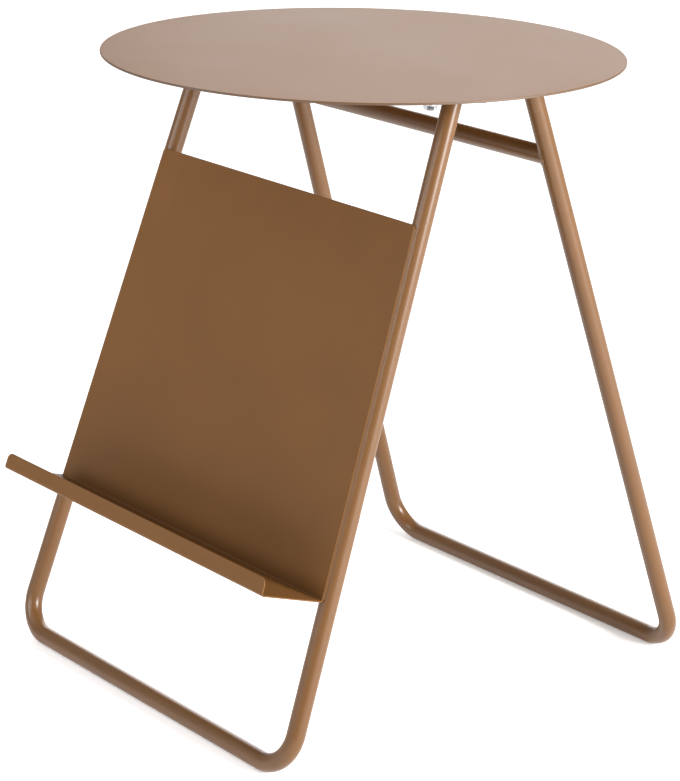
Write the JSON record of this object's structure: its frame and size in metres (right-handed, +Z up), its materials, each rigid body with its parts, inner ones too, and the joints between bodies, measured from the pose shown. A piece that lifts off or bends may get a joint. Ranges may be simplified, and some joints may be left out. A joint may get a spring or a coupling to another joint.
{
  "type": "side table",
  "caption": "Round metal side table on two leaning bent-tube frames, with a folded sheet magazine rack on the front frame.",
  "frame": {"origin": "on the floor, under the middle of the table's whole outline; the tabletop's axis is 7.5 mm behind it", "axes": "+Z up, X across the magazine rack, the rack faces -Y"},
  "size_m": [0.4519, 0.483, 0.55],
  "materials": {
    "tabletop_coat": "fine matte powder coat, camel brown",
    "frame_coat": "smooth satin powder coat, camel brown",
    "rack_coat": "fine matte powder coat, camel brown",
    "zinc_plate": "bright zinc plate"
  },
  "bodies": {
    "root": {"tabletop": "tabletop_coat", "front_frame": "frame_coat", "rear_frame": "frame_coat", "rear_crossbar": "frame_coat", "magazine_rack": "rack_coat", "leg_plate_front_left": "frame_coat", "leg_plate_front_right": "frame_coat", "leg_plate_rear_left": "frame_coat", "leg_plate_rear_right": "frame_coat", "front_leg_welds": "frame_coat", "rear_leg_welds": "frame_coat", "crossbar_welds": "frame_coat", "rack_welds": "frame_coat", "top_weld_nuts": "tabletop_coat", "plate_bolts": "zinc_plate", "plate_washers": "zinc_plate"}
  },
  "joints": []
}
